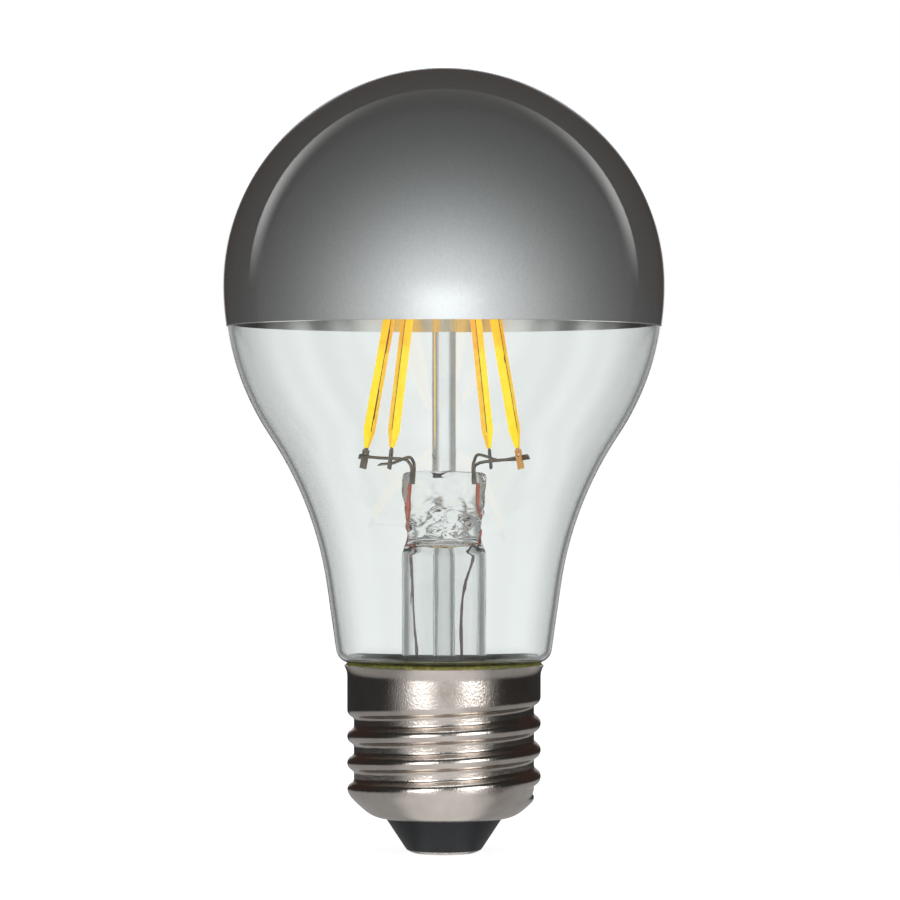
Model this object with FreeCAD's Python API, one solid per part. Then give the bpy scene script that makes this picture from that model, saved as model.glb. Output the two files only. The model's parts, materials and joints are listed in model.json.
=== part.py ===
import FreeCAD, Part
import math
import os

# A screw-cap filament bulb with a mirrored crown. Millimetres, +Z up, origin under the centre contact.

# Bulb glass
bulb_diameter = 60.0
overall_height = 107.0
mirror_thickness = 0.15
mirror_depth = 35.4
glass_wall = 0.7
shoulder_above_cap = 15.1
neck_radius = 11.8
neck_taper = 8.0
neck_straight = 8.7
neck_sink = 0.9
neck_step_angle = 70.0
neck_ledge = 0.82
neck_lower_bend = 1.2
neck_upper_bend = 2.0
seal_height = 15.5

# Screw cap
cap_height = 25.5
collar_height = 6.1
thread_diameter = 26.3
thread_pitch = 3.62
thread_depth = 1.05
thread_start_rise = 3.2
thread_start_angle = 121.0
groove_flat = 0.14
ridge_root = 0.5
shell_wall = 0.25
shell_bottom_radius = 8.0
rim_flare = 0.45
rim_height = 1.5

# Insulator, centre contact and cement
contact_height = 0.5
contact_radius = 5.1
contact_flat_radius = 3.6
eyelet_radius = 1.6
eyelet_bore = 1.0
eyelet_length = 2.0
solder_height = 1.2
insulator_height = 4.3
insulator_tip_radius = 5.3
insulator_seat = 2.2
cement_depth = 3.9
cement_bead = 0.55

# Glass stem; each press section has its rise, width and depth as shares of the press, and how square it is
flare_tube_radius = 5.75
stem_wall = 0.8
stem_shoulder = 2.4
press_below_dome = 25.0
press_height = 11.5
press_width = 11.6
press_thickness = 3.3
press_shape = [
    (0.00, 0.86, 1.60, 2.2),
    (0.22, 0.87, 1.40, 2.3),
    (0.42, 0.89, 1.10, 2.6),
    (0.66, 0.96, 1.00, 3.0),
    (0.90, 1.00, 1.00, 3.0),
    (1.00, 0.97, 0.85, 2.6),
]
# Glass lumps round the wires, as shares of the press: across, aside, drop from its top, width, depth, height
press_lumps = [
    (0.130, -0.15, 0.452, 0.276, 1.18, 0.591),
    (-0.375, 0.00, 0.252, 0.224, 1.24, 0.522),
    (0.375, 0.00, 0.165, 0.198, 1.12, 0.365),
]
exhaust_radius = 1.5
exhaust_bore = 1.0
exhaust_lift = 1.0
exhaust_grip = 1.5
blow_hole_rise = 3.2
blow_hole_radius = 0.55
blow_hole_angle = -73.0
rod_radius = 1.65
rod_socket = 3.0
bead_radius = 2.5
bead_drop = 2.5

# Light filaments, each with its plan angle seen from above
filament_angles = [158.0, 233.0, 57.0, 329.0]
filament_length = 38.0
filament_diameter = 1.6
filament_tip_diameter = 0.7
filament_tip_length = 1.5
filament_foot_radius = 11.5
filament_head_radius = 4.2
filament_lift = 3.2
strip_width = 0.9
strip_thickness = 0.4
strip_inset = 1.2
tab_width = 1.0
tab_neck_width = 0.5
tab_thickness = 0.25
tab_length = 2.9
tab_hole = 0.4
tab_hole_drop = 0.8

# Wires
lead_diameter = 0.55
lead_bend = 1.1
lead_rise = 1.1
lead_grip = 2.1
lead_root_offset = 4.1
lead_root_gap = 0.9
weld_drop = 1.5
weld_gap = 0.03
lead_overhang = 1.6
support_root_radius = 1.1
support_grip = 3.2
support_rise = 0.8
seal_wire_diameter = 0.5
seal_wire_offset = 4.35
outer_lead_diameter = 0.55
outer_lead_bend = 2.0
# Shares of the flare tube's length: the hang under the press, then the two ends of the straight run
outer_lead_hang = 0.15
outer_lead_gather = 0.4
outer_lead_spread = 0.2
wire_stub = 0.6
wire_to_shell_gap = 0.2

# Driver in the cap, each piece with its place on the round board
board_radius = 9.6
board_thickness = 1.0
board_lift = 2.4
board_hole_place = (6.4, 1.6)
capacitor_diameter = 5.0
capacitor_into_flare = 0.3
capacitor_bead = 0.25
capacitor_bead_height = 1.0
capacitor_place = (4.2, 4.2)
inductor_diameter = 4.8
inductor_core = 4.0
inductor_gap = 0.5
inductor_flange = 0.6
inductor_place = (-4.4, -4.4)
resistor_diameter = 1.8
resistor_length = 4.6
resistor_lift = 0.1
resistor_leg = 0.5
resistor_place = (3.5, -6.2)
rectifier_size = (4.0, 4.6, 1.4)
rectifier_place = (-3.4, 2.6)
chip_size = (4.9, 3.9, 1.5)
chip_place = (4.2, 2.8)
neutral_hole_inset = 1.5
neutral_bend = 0.8

# Sizes that follow
glass_radius = bulb_diameter / 2 - mirror_thickness
dome_centre = overall_height - bulb_diameter / 2
shoulder_radius = dome_centre - cap_height - shoulder_above_cap
neck_bend_height = cap_height - neck_sink
shell_bottom = contact_height + insulator_height
collar_bottom = cap_height - collar_height
thread_radius = thread_diameter / 2
thread_root = thread_radius - thread_depth
thread_round = (thread_pitch ** 2 / 4 + thread_depth ** 2) / (4 * thread_depth)
thread_start = shell_bottom + thread_start_rise
core_radius = thread_root + groove_flat
bowl_radius = core_radius - shell_bottom_radius
collar_bore = thread_radius - shell_wall
insulator_floor = shell_bottom + insulator_seat
flare_bottom = seal_height - stem_wall
press_top = dome_centre - press_below_dome
flare_tube_top = press_top - press_height
flare_tube_length = flare_tube_top - seal_height
cavity_top = flare_tube_top + stem_shoulder - stem_wall
exhaust_top = cavity_top + exhaust_grip
blow_hole_height = exhaust_top + blow_hole_rise
filament_foot = press_top + filament_lift
filament_lean = filament_foot_radius - filament_head_radius
filament_head = filament_foot + math.sqrt(filament_length ** 2 - filament_lean ** 2)
rod_height = filament_head - bead_drop
board_height = insulator_floor + board_lift
board_top = board_height + board_thickness
capacitor_height = flare_bottom + capacitor_into_flare - board_top
inductor_height = flare_bottom - inductor_gap - board_top
neutral_height = (flare_bottom + board_top) / 2
touching = 1e-6
loft_degree = 3

Vector = FreeCAD.Vector
up = Vector(0, 0, 1)


def point(radius, height):
    return Vector(radius, 0, height)


def on_circle(centre, radius, angle):
    turn = math.radians(angle)
    return centre + Vector(radius * math.cos(turn), 0, radius * math.sin(turn))


def plan(radius, angle, height):
    turn = math.radians(angle)
    return Vector(radius * math.cos(turn), radius * math.sin(turn), height)


def arc(centre, radius, start, end):
    middle = on_circle(centre, radius, (start + end) / 2)
    return Part.Arc(on_circle(centre, radius, start), middle, on_circle(centre, radius, end)).toShape()


def edge_end(edge):
    return edge.valueAt(edge.LastParameter)


def edge_start(edge):
    return edge.valueAt(edge.FirstParameter)


def joined(edges):
    # Straight lines close the steps between edges that are listed in order
    chain = [edges[0]]
    for edge in edges[1:]:
        if edge_end(chain[-1]).distanceToPoint(edge_start(edge)) > touching:
            chain.append(Part.makeLine(edge_end(chain[-1]), edge_start(edge)))
        chain.append(edge)
    return chain


def corners(points):
    return [Part.makeLine(a, b) for a, b in zip(points, points[1:])]


def turned(edges):
    outline = joined(edges)
    gap = edge_end(outline[-1]).distanceToPoint(edge_start(outline[0]))
    if gap > touching:
        outline.append(Part.makeLine(edge_end(outline[-1]), edge_start(outline[0])))
    face = Part.Face(Part.Wire(outline))
    return face.revolve(Vector(0, 0, 0), up, 360)


def turned_corners(points):
    return turned(corners(points))


def single(shape):
    return shape.Solids[0]


def save(name, shape):
    single(shape).exportStep(os.path.join("parts", name + ".step"))


# Bulb outline: tangent arcs from the neck inside the cap to the crown
def glass_arcs():
    lower = point(neck_radius + neck_lower_bend, neck_bend_height)
    step_start = on_circle(lower, neck_lower_bend, 180 - neck_step_angle)
    lean = math.radians(neck_step_angle)
    step_end = step_start + point(math.sin(lean), math.cos(lean)) * neck_ledge
    upper = step_end - on_circle(Vector(), neck_upper_bend, -neck_step_angle)
    taper = math.radians(neck_taper)
    neck_top = on_circle(upper, neck_upper_bend, -neck_taper)
    neck_top = neck_top + point(math.sin(taper), math.cos(taper)) * neck_straight
    shoulder = point(glass_radius - shoulder_radius, dome_centre)
    outward = point(math.cos(taper), -math.sin(taper))
    reach = shoulder - neck_top
    # The hollow leaves the neck along its taper and touches the shoulder arc
    hollow_radius = (reach.dot(reach) - shoulder_radius ** 2) / (2 * (shoulder_radius + reach.dot(outward)))
    hollow = neck_top + outward * hollow_radius
    fall = math.degrees(math.atan2(hollow.z - shoulder.z, hollow.x - shoulder.x))
    crown = point(0, dome_centre)
    return [
        (lower, neck_lower_bend, -1, 180, 180 - neck_step_angle),
        (upper, neck_upper_bend, 1, -neck_step_angle, -neck_taper),
        (hollow, hollow_radius, -1, 180 - neck_taper, 180 + fall),
        (shoulder, shoulder_radius, 1, fall, 0),
        (crown, glass_radius, 1, 0, 90),
    ]


def glass_outline(inset, bottom):
    # The arcs keep their centres, so every inset follows the glass at an even depth
    foot = point(neck_radius - inset, bottom)
    edges = []
    for centre, radius, side, start, end in glass_arcs():
        edges.append(arc(centre, radius - side * inset, start, end))
    return [Part.makeLine(foot, edge_start(edges[0]))] + joined(edges)


def glass_form(inset, bottom):
    edges = glass_outline(inset, bottom)
    top = edge_end(edges[-1])
    return turned(edges + corners([top, point(0, bottom), edge_start(edges[0])]))


def glass_envelope():
    return glass_form(0, seal_height).cut(glass_form(glass_wall, seal_height))


def crown_mirror():
    skin = glass_form(-mirror_thickness, seal_height).cut(glass_form(0, seal_height))
    above = Part.makeCylinder(bulb_diameter, mirror_depth * 2, point(0, overall_height - mirror_depth))
    return skin.common(above)


# Screw cap: a thin rolled shell, so the same thread form is made twice and cut
def thread_section(inset):
    crest = point(thread_radius - thread_round, 0)
    groove = point(thread_root + thread_round, thread_pitch / 2)
    crest_radius = thread_round - inset
    groove_radius = thread_round + inset
    slope = math.degrees(math.atan2(groove.z, groove.x - crest.x))
    foot_angle = math.degrees(math.acos((groove_radius - groove_flat) / groove_radius))
    low_groove = point(groove.x, -groove.z)
    curve = [
        arc(low_groove, groove_radius, 180 - foot_angle, 180 - slope),
        arc(crest, crest_radius, -slope, slope),
        arc(groove, groove_radius, 180 + slope, 180 + foot_angle),
    ]
    low = edge_start(curve[0])
    high = edge_end(curve[-1])
    root = core_radius - inset - ridge_root
    return Part.Wire(curve + corners([high, point(root, high.z), point(root, low.z), low]))


def thread_ridge(inset):
    helix = Part.makeHelix(thread_pitch, collar_bottom - thread_start, thread_radius)
    sweep = Part.BRepOffsetAPI.MakePipeShell(Part.Wire(helix))
    sweep.setBiNormalMode(up)
    sweep.add(thread_section(inset))
    sweep.build()
    sweep.makeSolid()
    # A flat cut at the start lets the ridge rise out of the bowl
    lead_in = Part.makeBox(thread_radius, thread_diameter, thread_pitch)
    lead_in.translate(Vector(core_radius - inset, -thread_pitch / 2, -thread_pitch / 2))
    ridge = sweep.shape().cut(lead_in)
    ridge.rotate(Vector(), up, thread_start_angle)
    ridge.translate(Vector(0, 0, thread_start))
    return ridge


def rim_curve(collar):
    # The rolled edge leans outward in one arc that starts upright
    radius = (rim_flare ** 2 + rim_height ** 2) / (2 * rim_flare)
    sweep = math.degrees(math.asin(rim_height / radius))
    return arc(point(collar + radius, cap_height - rim_height), radius, 180, 180 - sweep)


def shell_core(inset):
    bottom = shell_bottom + inset
    core = core_radius - inset
    bowl = arc(point(shell_bottom_radius, shell_bottom + bowl_radius), bowl_radius - inset, -90, 0)
    collar = thread_radius - inset
    step = [Part.makeLine(point(core, collar_bottom - thread_depth), point(collar, collar_bottom))]
    start = Part.makeLine(point(0, bottom), point(shell_bottom_radius, bottom))
    rim = rim_curve(collar)
    return turned([start, bowl] + step + [rim] + corners([edge_end(rim), point(0, cap_height)]))


def threaded_form(inset):
    return shell_core(inset).fuse(thread_ridge(inset))


def screw_shell():
    mouth = Part.makeCylinder(shell_bottom_radius, bowl_radius, point(0, shell_bottom - shell_wall))
    return threaded_form(0).cut(threaded_form(shell_wall)).cut(mouth)


def insulator():
    seat = shell_bottom + shell_wall
    centre = point(shell_bottom_radius, shell_bottom + bowl_radius)
    inner = bowl_radius - shell_wall
    rise = math.degrees(math.asin((centre.z - insulator_floor) / inner))
    outline = [
        Part.makeLine(point(eyelet_bore, contact_height), point(insulator_tip_radius, contact_height)),
        Part.makeLine(point(insulator_tip_radius, contact_height), point(shell_bottom_radius, shell_bottom)),
        Part.makeLine(point(shell_bottom_radius, shell_bottom), point(shell_bottom_radius, seat)),
        arc(centre, inner, -90, -rise),
    ]
    floor = on_circle(centre, inner, -rise)
    bore_top = point(eyelet_bore, insulator_floor)
    outline += corners([floor, bore_top, point(eyelet_bore, contact_height)])
    eyelet = Part.makeCylinder(eyelet_radius, eyelet_length, point(0, contact_height))
    return turned(outline).cut(eyelet)


def centre_contact():
    # The button's edge arc leaves the flat smoothly
    reach = contact_radius - contact_flat_radius
    edge_radius = (reach ** 2 + contact_height ** 2) / (2 * contact_height)
    sweep = math.degrees(math.asin(reach / edge_radius))
    edge = arc(point(contact_flat_radius, edge_radius), edge_radius, -90, sweep - 90)
    floor = Part.makeLine(point(eyelet_bore, 0), point(contact_flat_radius, 0))
    rest = corners([
        point(contact_radius, contact_height),
        point(eyelet_radius, contact_height),
        point(eyelet_radius, contact_height + eyelet_length),
        point(eyelet_bore, contact_height + eyelet_length),
        point(eyelet_bore, 0),
    ])
    return turned([floor, edge] + rest)


def contact_solder():
    return Part.makeCylinder(eyelet_bore, solder_height)


def basing_cement():
    bottom = cap_height - cement_depth
    rim = rim_curve(collar_bore)
    bead = arc(edge_end(rim) - point(cement_bead, 0), cement_bead, 0, 90)
    top = edge_end(bead)
    start = Part.makeLine(point(0, bottom), point(collar_bore, bottom))
    blank = turned([start, rim, bead] + corners([top, point(0, top.z)]))
    return blank.cut(glass_form(0, seal_height))


# Glass stem
def press_section(width, thickness, squareness, height):
    # A rounded oblong; squareness 2 is a plain ellipse
    points = []
    count = 16
    for index in range(count):
        turn = 2 * math.pi * index / count
        across = math.copysign(abs(math.cos(turn)) ** (2 / squareness), math.cos(turn))
        deep = math.copysign(abs(math.sin(turn)) ** (2 / squareness), math.sin(turn))
        points.append(Vector(across * width / 2, deep * thickness / 2, height))
    curve = Part.BSplineCurve()
    curve.interpolate(Points=points, PeriodicFlag=True)
    return Part.Wire(curve.toShape())


def pinched_press():
    sections = []
    for rise, width, depth, squareness in press_shape:
        height = flare_tube_top + press_height * rise
        sections.append(press_section(press_width * width, press_thickness * depth, squareness, height))
    return Part.makeLoft(sections, True, False, False, loft_degree)


def press_lump(across, aside, drop, width, depth, height):
    squeeze = FreeCAD.Matrix()
    squeeze.scale(width * press_width / 2, depth * press_thickness / 2, height * press_height / 2)
    lump = Part.makeSphere(1).transformGeometry(squeeze)
    lump.translate(Vector(across * press_width, aside * press_thickness, press_top - drop * press_height))
    return lump


def flare_curves(inset):
    # The trumpet at the foot and the rounded shoulder under the press
    bend = neck_radius - glass_wall - flare_tube_radius
    trumpet = arc(point(neck_radius - glass_wall, seal_height + bend), bend + inset, -90, -180)
    centre = point(flare_tube_radius - stem_shoulder, flare_tube_top)
    shoulder = arc(centre, stem_shoulder - inset, 0, 90)
    return [trumpet, shoulder, Part.makeLine(edge_end(shoulder), point(0, edge_end(shoulder).z))]


def stem_cavity():
    return turned(flare_curves(stem_wall) + corners([point(0, cavity_top), point(0, flare_bottom)]))


def stem_flare():
    foot = point(neck_radius, flare_bottom)
    rim = corners([point(0, flare_bottom), foot, point(neck_radius, seal_height)])
    skirt = turned(rim + flare_curves(0))
    lumps = [press_lump(*shares) for shares in press_lumps]
    solid = skirt.fuse([pinched_press()] + lumps).cut(stem_cavity())
    socket = Part.makeCylinder(rod_radius, press_height, point(0, press_top - rod_socket))
    tube_seat = Part.makeCylinder(exhaust_radius, exhaust_top - flare_tube_top, point(0, flare_tube_top))
    channel = Part.makeCylinder(exhaust_bore, blow_hole_rise, point(0, exhaust_top))
    hole_start = point(0, blow_hole_height - exhaust_bore)
    outward = plan(1, blow_hole_angle, 0)
    blow_hole = Part.makeCylinder(blow_hole_radius, press_width, hole_start, outward)
    wires = [path_wire(path, size) for path, size in embedded_paths()]
    return solid.cut([socket, tube_seat, channel, blow_hole] + wires)


def exhaust_tube():
    tip = point(0, seal_height + exhaust_lift + exhaust_radius)
    body = turned([
        arc(tip, exhaust_radius, -90, 0),
        Part.makeLine(point(exhaust_radius, tip.z), point(exhaust_radius, exhaust_top)),
        Part.makeLine(point(exhaust_radius, exhaust_top), point(0, exhaust_top)),
    ])
    bore = Part.makeCylinder(exhaust_bore, exhaust_top - tip.z, tip)
    return body.cut(bore)


def stem_rod():
    foot = press_top - rod_socket
    rod = Part.makeCylinder(rod_radius, rod_height - foot, point(0, foot))
    bead = Part.makeSphere(bead_radius, point(0, rod_height))
    wires = [path_wire(support_path(index), lead_diameter) for index in range(len(filament_angles))]
    return rod.fuse(bead).cut(wires)


# Wires: round rods along straight runs with rounded corners
def rounded_path(points, bend):
    edges = []
    start = points[0]
    for before, corner, after in zip(points, points[1:], points[2:]):
        back = (before - corner).normalize()
        onward = (after - corner).normalize()
        half = back.getAngle(onward) / 2
        reach = bend / math.tan(half)
        middle = corner + (back + onward).normalize() * (bend / math.sin(half) - bend)
        curve = Part.Arc(corner + back * reach, middle, corner + onward * reach).toShape()
        edges += [Part.makeLine(start, corner + back * reach), curve]
        start = corner + onward * reach
    edges.append(Part.makeLine(start, points[-1]))
    return Part.Wire(edges)


def path_wire(path, diameter):
    points, bend = path
    spine = rounded_path(points, bend)
    along = points[1] - points[0]
    ring = Part.Wire(Part.makeCircle(diameter / 2, points[0], along))
    return spine.makePipeShell([ring], True, True)


def filament_ends(index):
    angle = filament_angles[index]
    foot = plan(filament_foot_radius, angle, filament_foot)
    head = plan(filament_head_radius, angle, filament_head)
    return foot, head


def lead_root(index):
    # The first two filaments share the left side of the press, the others the right side
    side = -1 if index < 2 else 1
    turn = 1 if filament_ends(index)[0].y > 0 else -1
    return Vector(side * lead_root_offset, turn * lead_root_gap / 2, 0)


def support_root(index):
    return plan(support_root_radius, filament_angles[index], 0)


def weld_point(index, above):
    foot, head = filament_ends(index)
    along = (head - foot).normalize()
    if above:
        return head + along * (weld_drop / along.z)
    return foot - along * (weld_drop / along.z)


def wire_corner(index, above):
    if above:
        return support_root(index) + up * (filament_head + support_rise)
    return lead_root(index) + up * (press_top + lead_rise)


def tab_axes(index, above):
    # The tab lies flat against its wire: width along the wire's run, thickness across it
    foot, head = filament_ends(index)
    along = (head - foot).normalize()
    run = weld_point(index, above) - wire_corner(index, above)
    across = along.cross(run).normalize()
    return across.cross(along), across, along


def wire_past_tab(index, above, root_height):
    weld = weld_point(index, above)
    beside = tab_axes(index, above)[1] * ((lead_diameter + tab_thickness) / 2 + weld_gap)
    corner = wire_corner(index, above)
    tip = weld + (weld - corner).normalize() * lead_overhang + beside
    corner = corner + beside
    return [Vector(corner.x, corner.y, root_height), corner, tip], lead_bend


def lead_path(index):
    return wire_past_tab(index, False, press_top - lead_grip)


def support_path(index):
    return wire_past_tab(index, True, rod_height + bead_radius - support_grip)


def seal_path(side):
    offset = side * seal_wire_offset
    return [point(offset, press_top - lead_grip), point(offset, flare_tube_top + wire_stub)], 0


def outer_lead_path(side):
    # Both wires hang beside the exhaust tube, spread past its tip and end in the board
    start = seal_path(side)[0][-1]
    gap_middle = (exhaust_radius + flare_tube_radius - stem_wall) / 2
    across, aside = board_hole_place
    hole = Vector(side * across, -side * aside, board_height - wire_stub)
    return [
        start,
        start - up * flare_tube_length * outer_lead_hang,
        point(side * gap_middle, seal_height + flare_tube_length * outer_lead_gather),
        point(side * gap_middle, seal_height + flare_tube_length * outer_lead_spread),
        Vector(hole.x, hole.y, board_top + outer_lead_bend),
        hole,
    ], outer_lead_bend


def embedded_paths():
    leads = [(lead_path(index), lead_diameter) for index in range(len(filament_angles))]
    seals = [(seal_path(side), seal_wire_diameter) for side in (-1, 1)]
    return leads + seals


# Filaments
def placed(shape, index, above, origin):
    width, across, along = tab_axes(index, above)
    turn = FreeCAD.Rotation(width, across, along, "ZXY")
    shape.Placement = FreeCAD.Placement(origin, turn)
    return shape


def plate(width, thickness, low, high):
    return Part.makeBox(width, thickness, high - low, Vector(-width / 2, -thickness / 2, low))


def tab_form():
    neck = plate(tab_neck_width, tab_thickness, -tab_thickness, strip_inset)
    blade = plate(tab_width, tab_thickness, -tab_length, -tab_thickness)
    hole = plate(tab_hole, tab_thickness, -tab_hole_drop - tab_hole, -tab_hole_drop)
    return neck.fuse(blade).cut(hole).removeSplitter()


def lower_tab(index):
    return placed(tab_form(), index, False, filament_ends(index)[0])


def upper_tab(index):
    shape = tab_form()
    shape.rotate(Vector(), Vector(0, 1, 0), 180)
    turned_over = Part.makeCompound([shape])
    return placed(turned_over, index, True, filament_ends(index)[1])


def filament_strip(index):
    shape = plate(strip_width, strip_thickness, strip_inset, filament_length - strip_inset)
    return placed(shape, index, False, filament_ends(index)[0])


def filament_coat(index):
    body = filament_diameter / 2
    tip = filament_tip_diameter / 2
    rod = turned_corners([
        point(0, 0),
        point(tip, 0),
        point(body, filament_tip_length),
        point(body, filament_length - filament_tip_length),
        point(tip, filament_length),
        point(0, filament_length),
        point(0, 0),
    ])
    rod = placed(rod, index, False, filament_ends(index)[0])
    return rod.cut([filament_strip(index), lower_tab(index), upper_tab(index)])


# Driver in the cap
def live_lead_path():
    return [point(0, solder_height), point(0, board_top + wire_stub)], 0


def neutral_lead_path():
    hole = board_radius - neutral_hole_inset
    reach = thread_root - shell_wall - wire_to_shell_gap
    return [
        point(-hole, board_height - wire_stub),
        point(-hole, neutral_height),
        point(-reach, neutral_height),
    ], neutral_bend


def driver_board():
    board = Part.makeCylinder(board_radius, board_thickness, point(0, board_height))
    paths = [live_lead_path(), neutral_lead_path(), outer_lead_path(-1), outer_lead_path(1)]
    return board.cut([path_wire(path, outer_lead_diameter) for path in paths])


def on_board(place):
    return Vector(place[0], place[1], board_top)


def electrolytic_capacitor():
    seat = on_board(capacitor_place)
    radius = capacitor_diameter / 2
    can = Part.makeCylinder(radius, capacitor_height, seat)
    bead_centre = seat + up * capacitor_bead_height
    return can.cut(Part.makeTorus(radius + capacitor_bead / 2, capacitor_bead, bead_centre))


def inductor():
    seat = on_board(inductor_place)
    core = Part.makeCylinder(inductor_core / 2, inductor_height, seat)
    foot = Part.makeCylinder(inductor_diameter / 2, inductor_flange, seat)
    head = foot.translated(up * (inductor_height - inductor_flange))
    return core.fuse([foot, head]).removeSplitter()


def fuse_resistor():
    axis = on_board(resistor_place) + up * (resistor_lift + resistor_diameter / 2)
    along = Vector(1, 0, 0)
    end = axis - along * (resistor_length / 2)
    body = Part.makeCylinder(resistor_diameter / 2, resistor_length, end, along)
    legs = []
    for side in (-1, 1):
        top = axis + along * (side * (resistor_length / 2 - resistor_leg))
        legs.append(Part.makeCylinder(resistor_leg / 2, top.z - board_top, top, -up))
    return body.fuse(legs)


def surface_part(size, place):
    # It hangs under the board
    width, depth, height = size
    corner = Vector(place[0] - width / 2, place[1] - depth / 2, board_height - height)
    return Part.makeBox(width, depth, height, corner)


def save_all():
    os.makedirs("parts", exist_ok=True)
    save("glass_envelope", glass_envelope())
    save("crown_mirror", crown_mirror())
    save("screw_shell", screw_shell())
    save("insulator", insulator())
    save("centre_contact", centre_contact())
    save("contact_solder", contact_solder())
    save("basing_cement", basing_cement())
    save("stem_flare", stem_flare())
    save("exhaust_tube", exhaust_tube())
    save("stem_rod", stem_rod())
    for index in range(len(filament_angles)):
        number = str(index + 1)
        save("filament_coat_" + number, filament_coat(index))
        save("filament_strip_" + number, filament_strip(index))
        save("lower_tab_" + number, lower_tab(index))
        save("upper_tab_" + number, upper_tab(index))
        save("lead_wire_" + number, path_wire(lead_path(index), lead_diameter))
        save("support_wire_" + number, path_wire(support_path(index), lead_diameter))
    for side, name in ((-1, "left"), (1, "right")):
        save("seal_wire_" + name, path_wire(seal_path(side), seal_wire_diameter))
        save("outer_lead_" + name, path_wire(outer_lead_path(side), outer_lead_diameter))
    save("driver_board", driver_board())
    save("electrolytic_capacitor", electrolytic_capacitor())
    save("inductor", inductor())
    save("fuse_resistor", fuse_resistor())
    save("rectifier", surface_part(rectifier_size, rectifier_place))
    save("driver_chip", surface_part(chip_size, chip_place))
    save("live_lead", path_wire(live_lead_path(), outer_lead_diameter))
    save("neutral_lead", path_wire(neutral_lead_path(), outer_lead_diameter))


save_all()
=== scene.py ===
import bpy
import bmesh
import json
import math
from mathutils import Matrix, Vector, noise


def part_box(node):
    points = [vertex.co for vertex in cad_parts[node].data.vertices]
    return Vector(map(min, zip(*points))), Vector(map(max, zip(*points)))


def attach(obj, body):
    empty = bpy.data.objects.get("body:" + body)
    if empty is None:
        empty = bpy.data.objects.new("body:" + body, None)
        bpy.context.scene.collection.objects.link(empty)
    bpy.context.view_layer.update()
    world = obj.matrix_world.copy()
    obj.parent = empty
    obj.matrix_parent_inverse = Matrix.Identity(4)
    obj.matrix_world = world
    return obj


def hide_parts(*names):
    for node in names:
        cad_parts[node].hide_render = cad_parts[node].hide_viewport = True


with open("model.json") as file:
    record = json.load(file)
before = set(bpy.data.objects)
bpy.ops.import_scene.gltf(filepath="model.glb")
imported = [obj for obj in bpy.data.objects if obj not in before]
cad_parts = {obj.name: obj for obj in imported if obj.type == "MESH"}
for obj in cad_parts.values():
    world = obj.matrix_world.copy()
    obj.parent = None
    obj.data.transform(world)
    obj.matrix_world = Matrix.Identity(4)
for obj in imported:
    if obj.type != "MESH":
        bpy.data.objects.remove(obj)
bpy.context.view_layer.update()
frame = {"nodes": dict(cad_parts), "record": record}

# Every size below is in millimetres, as on a drawing; meshes are scaled to metres when they are finished
mm = 0.001
fit = 0.02  # gap left between pieces that touch
up = Vector((0, 0, 1))
white = (1, 1, 1, 1)


# Node and material helpers

def colour(hexText):
    # sRGB hex to the linear values that Blender works in
    shades = [int(hexText[i:i + 2], 16) / 255 for i in (1, 3, 5)]
    return (*[s / 12.92 if s <= 0.04045 else ((s + 0.055) / 1.055) ** 2.4 for s in shades], 1.0)


def addNode(tree, kind, settings=None, links=None):
    # Settings name an input by name or number, a ramp's stops, or else a property of the node
    node = tree.nodes.new("ShaderNode" + kind)
    for key, value in (settings or {}).items():
        if key == "stops":
            stops = node.color_ramp.elements
            while len(stops) < len(value):
                stops.new(0.5)
            for stop, (place, shade) in zip(stops, value):
                stop.position = place
                stop.color = shade if isinstance(shade, tuple) else (shade, shade, shade, 1)
        elif isinstance(key, int) or key in node.inputs:
            node.inputs[key].default_value = value
        else:
            setattr(node, key, value)
    # A link comes from a node's first output, or from the named one of a pair (node, output)
    for key, source in (links or {}).items():
        output = source[0].outputs[source[1]] if isinstance(source, tuple) else source.outputs[0]
        tree.links.new(output, node.inputs[key])
    return node


def emptyMaterial(name):
    material = bpy.data.materials.new(name)
    material.use_nodes = True
    material.node_tree.nodes.clear()
    return material, material.node_tree


def newFinish(name, shader, *patterns):
    # Each pattern is a noise whose lumps are size millimetres across, longer where stretch is small;
    # it varies the shades, the gloss (roughness) or the relief (depth in millimetres, strength)
    material, tree = emptyMaterial(name)
    coords = addNode(tree, "TexCoord")
    links = {}
    for pattern in patterns:
        scale = [share / (pattern["size"] * mm) for share in pattern.get("stretch", (1, 1, 1))]
        place = addNode(tree, "Mapping", {"Scale": scale}, {"Vector": (coords, "Object")})
        grain = addNode(tree, "TexNoise", {"Scale": 1.0, "Detail": pattern["detail"]}, {"Vector": place})
        if "shades" in pattern:
            stops = [(at, colour(shade)) for at, shade in pattern["shades"]]
            links["Base Color"] = addNode(tree, "ValToRGB", {"stops": stops}, {"Fac": grain})
        if "gloss" in pattern:
            links["Roughness"] = addNode(tree, "ValToRGB", {"stops": pattern["gloss"]}, {"Fac": grain})
        if "relief" in pattern:
            depth, strength = pattern["relief"]
            links["Normal"] = addNode(tree, "Bump", {"Strength": strength, "Distance": depth * mm},
                                      {"Height": grain})
    surface = addNode(tree, "BsdfPrincipled", shader, links)
    addNode(tree, "OutputMaterial", links={"Surface": surface})
    return material


# Mesh helpers

def arcPoints(centre, radius, start, end, step):
    count = max(2, math.ceil(abs(end - start) / step))
    turns = [math.radians(start + (end - start) * i / count) for i in range(count + 1)]
    return [(centre[0] + radius * math.cos(t), centre[1] + radius * math.sin(t)) for t in turns]


def cleaned(points, gap=1e-5):
    kept = [points[0]]
    for point in points[1:]:
        if math.dist(point, kept[-1]) > gap:
            kept.append(point)
    return kept


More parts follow.
